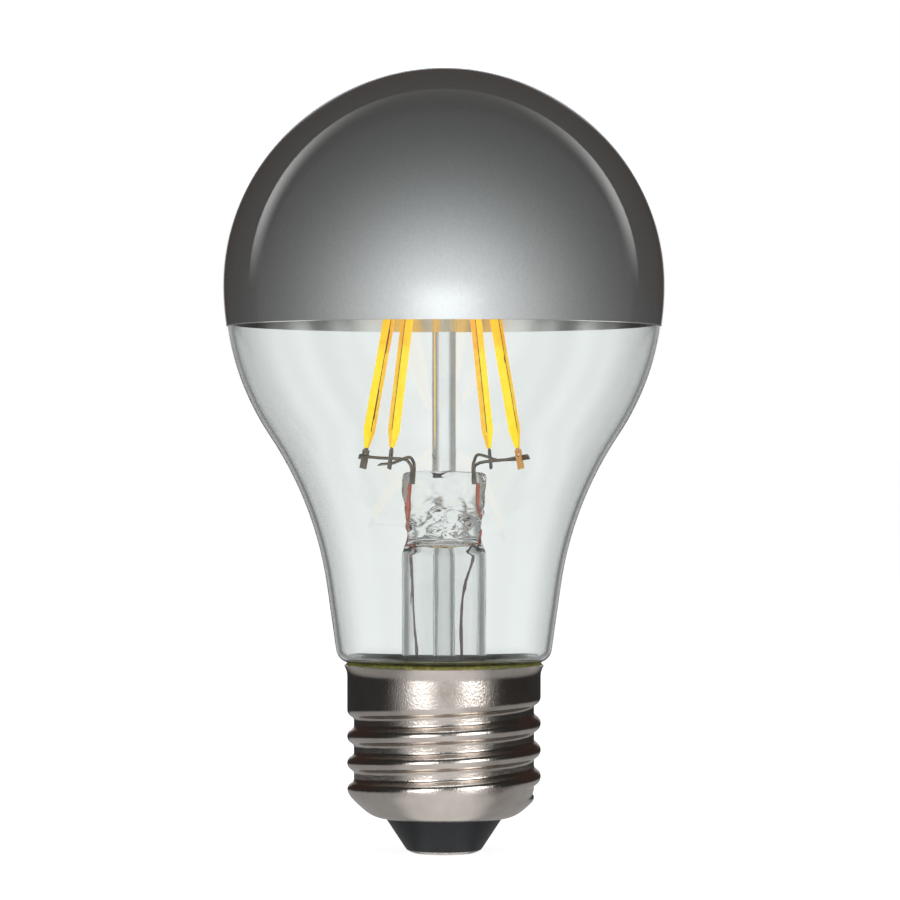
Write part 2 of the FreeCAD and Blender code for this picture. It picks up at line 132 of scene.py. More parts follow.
def spun(points, steps, closed=False):
    # A profile of (radius, height) turned once round the axis; ends on the axis close to poles
    bm = bmesh.new()
    verts = [bm.verts.new((r, 0, z)) for r, z in points]
    edges = [bm.edges.new(pair) for pair in zip(verts, verts[1:])]
    if closed:
        edges.append(bm.edges.new((verts[-1], verts[0])))
    bmesh.ops.spin(bm, geom=verts + edges, cent=(0, 0, 0), axis=up, angle=math.tau, steps=steps,
                   use_merge=True)
    bmesh.ops.remove_doubles(bm, verts=bm.verts, dist=1e-4)
    bmesh.ops.recalc_face_normals(bm, faces=bm.faces)
    return bm


def finished(bm, name, materials, node, sharp=40):
    # Millimetres to metres, smooth shading with edges kept sharp past an angle, then onto the frame
    bmesh.ops.scale(bm, vec=(mm, mm, mm), verts=bm.verts)
    mesh = bpy.data.meshes.new(name)
    bm.to_mesh(mesh)
    bm.free()
    mesh.shade_smooth()
    mesh.set_sharp_from_angle(angle=math.radians(sharp))
    for material in materials:
        mesh.materials.append(material)
    piece = bpy.data.objects.new(name, mesh)
    bpy.context.scene.collection.objects.link(piece)
    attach(piece, "root")
    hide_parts(node)
    return piece


def smoothStep(low, high, value):
    share = min(1, max(0, (value - low) / (high - low)))
    return share * share * (3 - 2 * share)


# Camera: level with the lower half of the glass, as in the photograph
view = {
    "distance": 530.0,
    "height": 54.74,
    "aside": 0.82,
    "lens": 155.9,
    "sensor": 36.0,
    "clipStart": 10.0,
}


def makeCamera():
    lens = bpy.data.cameras.new("photoCamera")
    lens.lens = view["lens"]
    lens.sensor_width = view["sensor"]
    lens.clip_start = view["clipStart"] * mm
    camera = bpy.data.objects.new("photoCamera", lens)
    camera.location = (view["aside"] * mm, -view["distance"] * mm, view["height"] * mm)
    camera.rotation_euler = (math.pi / 2, 0, 0)
    bpy.context.scene.collection.objects.link(camera)
    bpy.context.scene.camera = camera
    bpy.context.scene.view_settings.view_transform = "Standard"


makeCamera()
print("camera placed")


# Studio: softboxes in front and above, cards for the crown's mirror, a pale floor, and a tent round the rest
studio = {
    # turn from the camera's side in degrees (+ is right), rise, distance, width, height, middle radiance
    "softboxes": [
        ("softboxLeft", -26, 8, 900, 580, 760, 9.5),
        ("softboxRight", 34, 8, 900, 620, 760, 9.5),
        ("softboxTop", 0, 80, 700, 900, 700, 4.0),
    ],
    "aim": 60.0,
    # only for the crown's mirror: low in front a card that makes one soft round glow, and one behind
    "crownCards": [
        ("crownCard", 0.5, -8.5, 300, 280, 130, 12.3),
        ("crownBackCard", 180, 18, 420, 320, 220, 8.0),
    ],
    "cardTint": (0.90, 0.95, 1.0),
    "clothFade": 2.0,
    "ambient": 0.40,
    # the tent as gloss sees it: place from the front (0) to the back (1), and its shade there
    "tent": [
        (0.00, "#8e9293"), (0.10, "#5e6263"), (0.25, "#393c3a"), (0.50, "#2f2f2c"),
        (0.64, "#35312e"), (0.70, "#3e312c"), (0.98, "#3d302b"), (0.997, "#ffffff"),
    ],
    # its lit hem, between two places from front (-1) to back (1) and two heights (0 to 1)
    "hemInner": (0.31, 0.485),
    "hemOuter": (0.52, 0.505),
    "hemFoot": (0.0, 0.4),
    "hemTop": (0.45, 0.9),
    "hemTopFade": 0.95,
    "hemGlow": 4.4,
    # what clear glass shows besides white: cards at the corners and a dim ceiling, weaker in front
    "cards": 0.72,
    "cardBand": (0.42, 0.88),
    "ceiling": 0.6,
    "ceilingBand": (0.16, 0.55),
    "frontShare": 0.25,
    "frontBand": (-0.2, 0.2),
    "floorSize": 60000.0,
    "floorPaper": 0.3,
    "floorGlow": 0.89,
    # the paper as gloss sees it: white in front, a painted pool of light round the foot, dim elsewhere
    "floorFront": 0.9,
    "floorFrontBand": (-0.35, -0.95),
    "poolNear": 0.38,
    "poolFar": 0.04,
    "poolStart": 50.0,
    "poolEnd": 170.0,
}


def makeSoftbox(name, turn, rise, distance, width, height, radiance, middle, tint=(1, 1, 1)):
    lamp = bpy.data.lights.new(name, "AREA")
    lamp.shape = "RECTANGLE"
    lamp.size = width * mm
    lamp.size_y = height * mm
    lamp.energy = radiance * math.pi * lamp.size * lamp.size_y
    lamp.color = tint
    lamp.use_nodes = True
    tree = lamp.node_tree
    tree.nodes.clear()
    # The cloth is brightest in its middle and fades to its edges; 16 makes its middle 1
    place = addNode(tree, "NewGeometry")
    split = addNode(tree, "SeparateXYZ", links={"Vector": (place, "Parametric")})
    level = addNode(tree, "Math", {"operation": "MULTIPLY", 1: 16.0}, {0: (split, "X")})
    level = addNode(tree, "Math", {"operation": "MULTIPLY"}, {0: level, 1: (split, "Y")})
    for axis in ("X", "Y"):
        rest = addNode(tree, "Math", {"operation": "SUBTRACT", 0: 1.0}, {1: (split, axis)})
        level = addNode(tree, "Math", {"operation": "MULTIPLY"}, {0: level, 1: rest})
    soft = addNode(tree, "Math", {"operation": "POWER", 1: studio["clothFade"]}, {0: level})
    glow = addNode(tree, "Emission", links={"Strength": soft})
    addNode(tree, "OutputLight", links={"Surface": glow})
    box = bpy.data.objects.new(name, lamp)
    side, lift = math.radians(turn), math.radians(rise)
    direction = Vector((math.sin(side) * math.cos(lift), -math.cos(side) * math.cos(lift), math.sin(lift)))
    box.location = middle * mm + direction * distance * mm
    box.rotation_euler = direction.to_track_quat("Z", "Y").to_euler()
    box.visible_camera = False
    bpy.context.scene.collection.objects.link(box)
    return box


def makeSoftboxes():
    for settings in studio["softboxes"]:
        makeSoftbox(*settings, up * studio["aim"])


def shareLights(glass, mirror):
    # The mirror is lit by its own cards; the softboxes leave it and the clear glass alone
    alone = bpy.data.collections.new("crownOnly")
    alone.objects.link(mirror)
    for settings in studio["crownCards"]:
        card = makeSoftbox(*settings, up * domeCentre, tint=studio["cardTint"])
        card.light_linking.receiver_collection = alone
    others = bpy.data.collections.new("noSoftbox")
    for piece in (glass, mirror):
        others.objects.link(piece)
    for member in others.collection_objects:
        member.light_linking.link_state = "EXCLUDE"
    for name, *_ in studio["softboxes"]:
        bpy.data.objects[name].light_linking.receiver_collection = others


def makeSurround():
    world = bpy.data.worlds.new("studioSurround")
    world.use_nodes = True
    bpy.context.scene.world = world
    tree = world.node_tree
    tree.nodes.clear()
    path = addNode(tree, "LightPath")
    coords = addNode(tree, "TexCoord")
    split = addNode(tree, "SeparateXYZ", links={"Vector": (coords, "Generated")})
    across, along, rise = (split, "X"), (split, "Y"), (split, "Z")
    corner = addNode(tree, "Math", {"operation": "MULTIPLY"}, {0: across, 1: along})
    corner = addNode(tree, "Math", {"operation": "ABSOLUTE"}, {0: corner})
    corner = addNode(tree, "Math", {"operation": "MULTIPLY", 1: 2.0}, {0: corner})
    bands = {}
    for name, source in (("hemInner", along), ("hemOuter", along), ("hemFoot", rise), ("hemTop", rise),
                         ("cardBand", corner), ("ceilingBand", rise), ("frontBand", along)):
        low, high = studio[name]
        bands[name] = addNode(tree, "MapRange", {
            "interpolation_type": "SMOOTHSTEP", "From Min": low, "From Max": high}, {"Value": source})

    # What metal and gloss see: a tent, bright in front and dark to the sides, and the white backdrop behind
    place = addNode(tree, "Math", {"operation": "MULTIPLY_ADD", 1: 0.5, 2: 0.5}, {0: along})
    stops = [(at, colour(shade)) for at, shade in studio["tent"]]
    tent = addNode(tree, "ValToRGB", {"stops": stops}, {"Fac": place})
    tentGlow = addNode(tree, "Background", links={"Color": tent})
    # The tent's lit hem makes the thin bright crescent in the clear skin of the mirror
    top = addNode(tree, "Math", {"operation": "MULTIPLY_ADD", 1: -studio["hemTopFade"], 2: 1.0},
                  {0: bands["hemTop"]})
    hem = addNode(tree, "Math", {"operation": "MULTIPLY", 1: studio["hemGlow"]}, {0: top})
    for share in (bands["hemInner"], bands["hemOuter"], bands["hemFoot"], (path, "Is Singular Ray")):
        hem = addNode(tree, "Math", {"operation": "MULTIPLY"}, {0: hem, 1: share})
    hemGlow = addNode(tree, "Background", {"Color": white}, {"Strength": hem})
    mirrored = addNode(tree, "AddShader", links={0: tentGlow, 1: hemGlow})

    # What glass shows: white, with dark cards at the corners and a dim ceiling that draw its edges
    cards = addNode(tree, "Math", {"operation": "MULTIPLY", 1: studio["cards"]}, {0: bands["cardBand"]})
    ceiling = addNode(tree, "Math", {"operation": "MULTIPLY", 1: studio["ceiling"]},
                      {0: bands["ceilingBand"]})
    dark = addNode(tree, "Math", {"operation": "MAXIMUM"}, {0: cards, 1: ceiling})
    # Both are weaker in front, where the silver inside of the crown would pick them up
    behind = addNode(tree, "Math", {
        "operation": "MULTIPLY_ADD", 1: 1.0 - studio["frontShare"], 2: studio["frontShare"]},
        {0: bands["frontBand"]})
    dark = addNode(tree, "Math", {"operation": "MULTIPLY"}, {0: dark, 1: behind})
    clear = addNode(tree, "Math", {"operation": "SUBTRACT", 0: 1.0}, {1: dark})
    level = addNode(tree, "Mix", {"data_type": "FLOAT", 2: studio["ambient"]},
                    {0: (path, "Is Transmission Ray"), 3: clear})
    level = addNode(tree, "Math", {"operation": "MAXIMUM"}, {0: level, 1: (path, "Is Camera Ray")})
    glow = addNode(tree, "Background", {"Color": white}, {"Strength": level})
    # A ray that has passed clear glass counts as glossy too, so it is taken out here
    gloss = addNode(tree, "Math", {"operation": "SUBTRACT", "use_clamp": True},
                    {0: (path, "Is Glossy Ray"), 1: (path, "Is Transmission Ray")})
    chosen = addNode(tree, "MixShader", links={0: gloss, 1: glow, 2: mirrored})
    addNode(tree, "OutputWorld", links={"Surface": chosen})


def makeFloor():
    material, tree = emptyMaterial("matt white paper")
    path = addNode(tree, "LightPath")
    coords = addNode(tree, "TexCoord")
    # The camera sees white paper that keeps the object's shadow
    paper = addNode(tree, "BsdfDiffuse", {"Color": (*[studio["floorPaper"]] * 3, 1)})
    direct = addNode(tree, "Math", {"operation": "MULTIPLY", 1: studio["floorGlow"]},
                     {0: (path, "Is Camera Ray")})
    lit = addNode(tree, "Emission", {"Color": white}, {"Strength": direct})
    seen = addNode(tree, "AddShader", links={0: paper, 1: lit})
    # In gloss the paper glows white in front of the lamps, has a painted pool of light round the foot and is
    # dim elsewhere
    spoke = addNode(tree, "VectorMath", {"operation": "NORMALIZE"}, {0: (coords, "Object")})
    split = addNode(tree, "SeparateXYZ", links={"Vector": spoke})
    low, high = studio["floorFrontBand"]
    front = addNode(tree, "MapRange", {
        "interpolation_type": "SMOOTHSTEP", "From Min": low, "From Max": high,
        "To Min": studio["poolFar"], "To Max": studio["floorFront"]}, {"Value": (split, "Y")})
    away = addNode(tree, "VectorMath", {"operation": "LENGTH"}, {0: (coords, "Object")})
    near = addNode(tree, "MapRange", {
        "interpolation_type": "SMOOTHSTEP", "From Min": studio["poolEnd"] * mm,
        "From Max": studio["poolStart"] * mm, "To Max": studio["poolNear"]}, {"Value": (away, "Value")})
    pool = addNode(tree, "Math", {"operation": "MAXIMUM"}, {0: front, 1: near})
    # Through glass it is white, with painted shade where the surround's dark cards would stand on it
    corner = addNode(tree, "Math", {"operation": "MULTIPLY"}, {0: (split, "X"), 1: (split, "Y")})
    corner = addNode(tree, "Math", {"operation": "ABSOLUTE"}, {0: corner})
    low, high = studio["cardBand"]
    cards = addNode(tree, "MapRange", {
        "interpolation_type": "SMOOTHSTEP", "From Min": low / 2, "From Max": high / 2,
        "To Min": 1.0, "To Max": 1.0 - studio["cards"]}, {"Value": corner})
    level = addNode(tree, "Mix", {"data_type": "FLOAT"},
                    {0: (path, "Is Transmission Ray"), 2: pool, 3: cards})
    bent = addNode(tree, "Emission", {"Color": white}, {"Strength": level})
    turned = addNode(tree, "Math", {"operation": "MAXIMUM"},
                     {0: (path, "Is Glossy Ray"), 1: (path, "Is Transmission Ray")})
    chosen = addNode(tree, "MixShader", links={0: turned, 1: seen, 2: bent})
    addNode(tree, "OutputMaterial", links={"Surface": chosen})
    bm = bmesh.new()
    bmesh.ops.create_grid(bm, x_segments=1, y_segments=1, size=studio["floorSize"] * mm / 2)
    mesh = bpy.data.meshes.new("floor")
    bm.to_mesh(mesh)
    bm.free()
    mesh.materials.append(material)
    floor = bpy.data.objects.new("floor", mesh)
    bpy.context.scene.collection.objects.link(floor)


makeSoftboxes()
makeSurround()
makeFloor()
print("studio lit")


# Bulb glass: tangent arcs from the neck inside the cap to the crown
bulb = {
    "diameter": 60.0,
    "height": 107.0,
    "mirrorThickness": 0.15,
    "mirrorDepth": 35.4,
    # the coat's two skins, measured outward from the glass
    "mirrorSkins": (0.14, 0.03),
    "mirrorStep": 1.5,
    "wall": 0.7,
    "shoulderRadius": 36.4,
    "neckRadius": 11.8,
    "neckTaper": 8.0,
    "neckStraight": 8.7,
    "neckStepAngle": 70.0,
    "neckLedge": 0.82,
    "neckLowerBend": 1.2,
    "neckUpperBend": 2.0,
    "neckBendHeight": 24.6,
    "sealHeight": 15.5,
    # arcs under smallArc in radius take the coarser step in degrees
    "smallArc": 5.0,
    "smallStep": 8,
    "largeStep": 2,
    "segments": 160,
}
glassRadius = bulb["diameter"] / 2 - bulb["mirrorThickness"]
domeCentre = bulb["height"] - bulb["diameter"] / 2
mirrorEdge = bulb["height"] - bulb["mirrorDepth"]


def onCircle(centre, radius, angle):
    turn = math.radians(angle)
    return centre + Vector((radius * math.cos(turn), radius * math.sin(turn)))


def glassArcs():
    lowerBend, upperBend, stepAngle = bulb["neckLowerBend"], bulb["neckUpperBend"], bulb["neckStepAngle"]
    lower = Vector((bulb["neckRadius"] + lowerBend, bulb["neckBendHeight"]))
    lean, taper = math.radians(stepAngle), math.radians(bulb["neckTaper"])
    stepEnd = onCircle(lower, lowerBend, 180 - stepAngle)
    stepEnd += Vector((math.sin(lean), math.cos(lean))) * bulb["neckLedge"]
    upper = stepEnd - onCircle(Vector((0, 0)), upperBend, -stepAngle)
    neckTop = onCircle(upper, upperBend, -bulb["neckTaper"])
    neckTop += Vector((math.sin(taper), math.cos(taper))) * bulb["neckStraight"]
    shoulder = Vector((glassRadius - bulb["shoulderRadius"], domeCentre))
    outward = Vector((math.cos(taper), -math.sin(taper)))
    reach = shoulder - neckTop
    # The hollow leaves the neck along its taper and touches the shoulder arc
    hollowRadius = (reach.dot(reach) - bulb["shoulderRadius"] ** 2)
    hollowRadius /= 2 * (bulb["shoulderRadius"] + reach.dot(outward))
    hollow = neckTop + outward * hollowRadius
    fall = math.degrees(math.atan2(hollow.y - shoulder.y, hollow.x - shoulder.x))
    return [
        (lower, lowerBend, -1, 180, 180 - stepAngle),
        (upper, upperBend, 1, -stepAngle, -bulb["neckTaper"]),
        (hollow, hollowRadius, -1, 180 - bulb["neckTaper"], 180 + fall),
        (shoulder, bulb["shoulderRadius"], 1, fall, 0),
        (Vector((0, domeCentre)), glassRadius, 1, 0, 90),
    ]


def glassLine(inset):
    # The arcs keep their centres, so every inset follows the glass at an even depth
    points = [(bulb["neckRadius"] - inset, bulb["sealHeight"])]
    for centre, radius, side, start, end in glassArcs():
        step = bulb["smallStep"] if radius < bulb["smallArc"] else bulb["largeStep"]
        points += arcPoints(centre, radius - side * inset, start, end, step)
    points[-1] = (0.0, points[-1][1])
    return cleaned(points)


def clearGlass():
    # Soda-lime bulb glass, blown: a smooth clear skin, faintly green-grey, with slow waves from the blowing
    return newFinish("blown soda-lime glass", {
        "Base Color": colour("#f6f9f8"), "Roughness": 0.0, "IOR": 1.52, "Transmission Weight": 1.0},
        {"size": 14, "detail": 1.0, "stretch": (1, 1, 0.5), "relief": (0.03, 0.2)})


def stemGlass():
    # Lead glass of the stem, drawn and pinched hot: heavier than the bulb's, with drawn streaks
    return newFinish("pressed lead glass", {
        "Base Color": colour("#f7f8f8"), "Roughness": 0.0, "IOR": 1.56, "Transmission Weight": 1.0},
        {"size": 1.1, "detail": 2.0, "stretch": (1, 1, 0.12), "relief": (0.05, 0.5)})


def mirrorMetal():
    # Vacuum-coated crown mirror under clear lacquer: a soft dark sheen, finely grained, under a sharp gloss
    return newFinish("lacquered mirror coating", {
        "Metallic": 1.0, "Specular Tint": colour("#a07c6e"),
        "Coat Weight": 1.0, "Coat Roughness": 0.0, "Coat IOR": 1.31},
        {"size": 0.28, "detail": 3.0, "stretch": (1, 1, 0.6), "gloss": [(0.2, 0.64), (0.8, 0.66)],
         "shades": [(0.3, "#d2d3d1"), (0.7, "#dadbd9")]})


def mirrorSilver():
    # The silver side of the same coating, seen through the glass: bright and nearly smooth
    return newFinish("silvered glass", {"Metallic": 1.0}, {
        "size": 2.5, "detail": 2.0, "gloss": [(0.3, 0.10), (0.7, 0.16)],
        "shades": [(0.3, "#f2f2f1"), (0.7, "#fafafa")]})


def makeEnvelope(silver):
    # From the crown down the outside, round the foot and up the inside
    bm = spun(glassLine(0)[::-1] + glassLine(bulb["wall"]), bulb["segments"])
    # Behind the mirror coat the glass is silvered
    bmesh.ops.bisect_plane(bm, geom=bm.verts[:] + bm.edges[:] + bm.faces[:], plane_co=up * mirrorEdge,
                           plane_no=up)
    for face in bm.faces:
        face.material_index = 1 if face.calc_center_median().z > mirrorEdge else 0
    return finished(bm, "bulbGlass", [clearGlass(), silver], "glass_envelope")


def makeMirror(silver):
    shoulder = (glassRadius - bulb["shoulderRadius"], domeCentre)
    skins = []
    for lift in bulb["mirrorSkins"]:
        edge = -math.degrees(math.asin((domeCentre - mirrorEdge) / (bulb["shoulderRadius"] + lift)))
        line = arcPoints(shoulder, bulb["shoulderRadius"] + lift, edge, 0, bulb["mirrorStep"])
        line += arcPoints((0, domeCentre), glassRadius + lift, 0, 90, bulb["mirrorStep"])
        line[-1] = (0.0, line[-1][1])
        skins.append(cleaned(line))
    bm = spun(skins[0][::-1] + skins[1], bulb["segments"])
    # The coat's cut edge is bright silver and faces down
    for face in bm.faces:
        face.material_index = 1 if face.normal.z < -0.9 else 0
    return finished(bm, "crownMirror", [mirrorMetal(), silver], "crown_mirror")


crownSilver = mirrorSilver()
shareLights(makeEnvelope(crownSilver), makeMirror(crownSilver))
print("bulb glass and crown mirror made")


# Screw cap: one thin rolled sheet with a knuckle thread
cap = {
    "height": 25.5,
    "threadRadius": 13.15,
    "pitch": 3.62,
    "depth": 1.05,
    "threadStart": 8.0,
    "startAngle": 121.0,
    "grooveFlat": 0.14,
    "wall": 0.25,
    "bottom": 4.8,
    "bottomRadius": 8.0,
    "bowlStep": 5,
    # the bowl swells to the thread's radius from here above the bottom to here above the thread's start
    "swellFrom": 1.0,
    "swellTo": 0.6,
    "rimFlare": 0.45,
    "rimHeight": 1.5,
    "segments": 240,
    "rise": 0.16,
    # laps of the groove from the thread's start, and how long it takes to fade
    "grooveFirst": -0.35,
    "grooveLast": 2.9,
    "grooveFade": 0.15,
}
threadRound = (cap["pitch"] ** 2 / 4 + cap["depth"] ** 2) / (4 * cap["depth"])
coreRadius = cap["threadRadius"] - cap["depth"] + cap["grooveFlat"]
bowlRadius = coreRadius - cap["bottomRadius"]


def ridgeHeight(across):
    # Height of the knuckle above the root, from its crest arc and the groove arc beside it
    across = abs(across)
    half = cap["pitch"] / 2
    if across < half / 2:
        return cap["depth"] - threadRound + math.sqrt(threadRound ** 2 - across ** 2)
    rest = max(0, half - across)
    return threadRound - math.sqrt(threadRound ** 2 - rest ** 2)


def threadCut(angle, height):
    # How deep the rolled groove lies at a plan angle and height; it fades out at the bowl and the collar
    turn = (math.degrees(angle) - cap["startAngle"]) % 360 / 360
    lap = (height - cap["threadStart"]) / cap["pitch"] - turn
    groove = math.floor(lap)
    across = (lap - groove - 0.5) * cap["pitch"]
    travel = groove + turn
    fade = smoothStep(cap["grooveFirst"] - cap["grooveFade"], cap["grooveFirst"], travel)
    fade *= 1 - smoothStep(cap["grooveLast"], cap["grooveLast"] + cap["grooveFade"], travel)
    depth = cap["depth"] - ridgeHeight(cap["pitch"] / 2 - abs(across))
    return min(depth, cap["depth"] - cap["grooveFlat"]) * fade


def rimRadius(height):
    # The rolled edge leans outward in one arc that starts upright
    radius = (cap["rimFlare"] ** 2 + cap["rimHeight"] ** 2) / (2 * cap["rimFlare"])
    rise = max(0, height - (cap["height"] - cap["rimHeight"]))
    return radius - math.sqrt(radius ** 2 - rise ** 2)


def nickelPlate():
    # Nickel-plated steel, deep drawn and rolled: warm bright metal with a fine, slightly orange-peel grain
    return newFinish(
        "nickel-plated steel", {"Metallic": 1.0},
        {"size": 6, "detail": 3.0, "shades": [(0.3, "#bab1a9"), (0.7, "#d0c9c2")]},
        {"size": 0.15, "detail": 3.0, "stretch": (1, 1, 0.45), "gloss": [(0.3, 0.08), (0.7, 0.22)],
         "relief": (0.04, 0.6)})


def makeShell():
    # The core outline is spun first, then its skin is pushed out and cut along the thread and given a wall
    bowl = arcPoints((cap["bottomRadius"], cap["bottom"] + bowlRadius), bowlRadius, -90, 0, cap["bowlStep"])
    low = bowl[-1][1]
    count = math.ceil((cap["height"] - low) / cap["rise"])
    upright = [(coreRadius, low + (cap["height"] - low) * index / count) for index in range(1, count + 1)]
    bm = spun(bowl + upright, cap["segments"])
    swellFrom, swellTo = cap["bottom"] + cap["swellFrom"], cap["threadStart"] + cap["swellTo"]
    for vert in bm.verts:
        radius = math.hypot(vert.co.x, vert.co.y)
        angle = math.atan2(vert.co.y, vert.co.x)
        height = vert.co.z
        swell = (cap["threadRadius"] - coreRadius) * smoothStep(swellFrom, swellTo, height)
        scale = (radius + swell - threadCut(angle, height) + rimRadius(height)) / radius
        vert.co.x *= scale
        vert.co.y *= scale
    bmesh.ops.recalc_face_normals(bm, faces=bm.faces)
    if sum(face.normal.xy.dot(face.calc_center_median().xy) for face in bm.faces) < 0:
        bmesh.ops.reverse_faces(bm, faces=bm.faces)
    bm.normal_update()
    bmesh.ops.solidify(bm, geom=bm.faces[:], thickness=cap["wall"])
    bmesh.ops.recalc_face_normals(bm, faces=bm.faces)
    return finished(bm, "screwShell", [nickelPlate()], "screw_shell", sharp=60)


makeShell()
print("screw cap rolled")


# Insulator, contact, solder and basing cement
foot = {
    "contactHeight": 0.5,
    "contactRadius": 5.1,
    "contactFlat": 3.6,
    "contactStep": 4,
    "eyeletBore": 1.0,
    "eyeletLip": 0.2,
    "eyeletWall": 0.6,
    "eyeletRise": 2.0,
    "solderHeight": 1.2,
    "solderCrown": 0.1,
    # the drop of solder from its middle out, as shares of its radius and heights
    "solderDrop": [(0.0, 0.16), (0.55, 0.05), (0.85, 0.01), (1.0, 0.06)],
    "solderWave": 0.08,
    "tipRadius": 5.3,
    "tipRound": 0.35,
    # how far the cone's top edge stands in from the bowl's opening, and below it
    "coneEdge": (0.12, 0.14),
    "floor": 7.0,
    "cementDepth": 3.9,
    "cementBead": 0.55,
    "cementShelf": 0.35,
    "cementLump": 0.3,
    "cementSegments": 200,
    "rimSteps": 8,
    "segments": 128,
}


def blackGlass():
    # Pressed black glass of a lamp cap: near black with a faint blue, a fine gritty skin and a soft gloss
    return newFinish("black cap glass", {"IOR": 1.52, "Specular IOR Level": 0.3}, {
        "size": 0.35, "detail": 4.0, "shades": [(0.35, "#15171a"), (0.75, "#25272b")],
        "gloss": [(0.2, 0.34), (0.8, 0.52)], "relief": (0.03, 0.4)})


def contactMetal():
    # Nickel-plated brass button, stamped and handled: dull bright metal with fine rubbed marks
    return newFinish("stamped contact plate", {"Metallic": 1.0}, {
        "size": 0.5, "detail": 4.0, "stretch": (1, 0.3, 1), "shades": [(0.3, "#a39c95"), (0.7, "#cdc7c0")],
        "gloss": [(0.3, 0.15), (0.7, 0.35)]})


def solderMetal():
    # Tin solder, melted and set: pale grey with a slightly frosted, rippled skin
    return newFinish("tin solder", {"Base Color": colour("#b9b9b7"), "Metallic": 1.0}, {
        "size": 0.4, "detail": 3.0, "gloss": [(0.3, 0.2), (0.7, 0.5)], "relief": (0.05, 0.5)})


def cementMaterial():
    # Phenolic basing cement, baked in the rim: matt olive brown, grainy and uneven
    return newFinish("baked basing cement", {"Roughness": 0.75, "IOR": 1.55}, {
        "size": 0.6, "detail": 5.0, "shades": [(0.3, "#4c4a1c"), (0.55, "#74732c"), (0.8, "#9a9950")],
        "relief": (0.12, 0.7)})


def makeInsulator():
    centre = (cap["bottomRadius"], cap["bottom"] + bowlRadius)
    inner = bowlRadius - cap["wall"] - fit
    rise = math.degrees(math.asin((centre[1] - foot["floor"]) / inner))
    bore = foot["eyeletBore"] + foot["eyeletWall"] + fit
    low, tip, tipRound = foot["contactHeight"] + fit / 2, foot["tipRadius"], foot["tipRound"]
    edgeIn, edgeDrop = foot["coneEdge"]
    outline = [(bore, low), (tip - tipRound, low)]
    outline += arcPoints((tip - tipRound, low + tipRound), tipRound, -90, -45, 15)
    outline += [
        (cap["bottomRadius"] - edgeIn, cap["bottom"] - edgeDrop),
        (cap["bottomRadius"] - fit / 2, cap["bottom"] - fit),
        (cap["bottomRadius"] - fit, cap["bottom"] + cap["wall"] + fit),
    ]
    outline += arcPoints(centre, inner, -90, -rise, 6)
    outline += [(bore, foot["floor"])]
    bm = spun(cleaned(outline), foot["segments"], closed=True)
    return finished(bm, "capInsulator", [blackGlass()], "insulator", sharp=35)


def makeContact():
    reach = foot["contactRadius"] - foot["contactFlat"]
    edgeRadius = (reach ** 2 + foot["contactHeight"] ** 2) / (2 * foot["contactHeight"])
    sweep = math.degrees(math.asin(reach / edgeRadius))
    bore, high, top = foot["eyeletBore"], foot["contactHeight"], foot["contactHeight"] + foot["eyeletRise"]
    wall = bore + foot["eyeletWall"]
    outline = [(bore, 0.0), (bore + foot["eyeletLip"], 0.0)]
    outline += arcPoints((foot["contactFlat"], edgeRadius), edgeRadius, -90, sweep - 90, foot["contactStep"])
    outline += [(foot["contactRadius"], high), (wall, high), (wall, top), (bore, top)]
    bm = spun(cleaned(outline), foot["segments"], closed=True)
    return finished(bm, "contactButton", [contactMetal()], "centre_contact", sharp=35)


def makeSolder():
    radius, high = foot["eyeletBore"] - fit / 2, foot["solderHeight"]
    outline = [(radius * share, height) for share, height in foot["solderDrop"]]
    bm = spun(outline + [(radius, high), (0.0, high + foot["solderCrown"])], 48)
    for vert in bm.verts:
        vert.co.z += max(0, noise.noise(vert.co * 1.4)) * foot["solderWave"]
    return finished(bm, "contactSolder", [solderMetal()], "contact_solder", sharp=60)


def makeCement():
    # A ring between the rim and the neck, with a lumpy bead on top
    bottom, top = cap["height"] - foot["cementDepth"], cap["height"]
    inner, bead, shelf = bulb["neckRadius"] + fit, foot["cementBead"], foot["cementShelf"]
    collarInner = cap["threadRadius"] - cap["wall"] - fit
    beadCentre = collarInner + rimRadius(top) - bead
    outline = [(inner, bottom), (collarInner, bottom)]
    for index in range(foot["rimSteps"] + 1):
        height = top - cap["rimHeight"] * (1 - index / foot["rimSteps"])
        outline.append((collarInner + rimRadius(height), height))
    outline += arcPoints((beadCentre, top), bead, 10, 90, 15)
    outline += [(beadCentre - shelf, top + bead * 0.9), (inner + shelf, bulb["neckBendHeight"])]
    bm = spun(cleaned(outline), foot["cementSegments"], closed=True)
    for vert in bm.verts:
        if vert.co.z > top - fit:
            lump = noise.noise(Vector((vert.co.x * 0.55, vert.co.y * 0.55, 3.1)))
            vert.co.z += lump * foot["cementLump"] * smoothStep(top - fit, top + 0.5, vert.co.z)
    return finished(bm, "basingCement", [cementMaterial()], "basing_cement", sharp=50)


makeInsulator()
makeContact()
makeSolder()
makeCement()
print("foot of the cap and cement made")


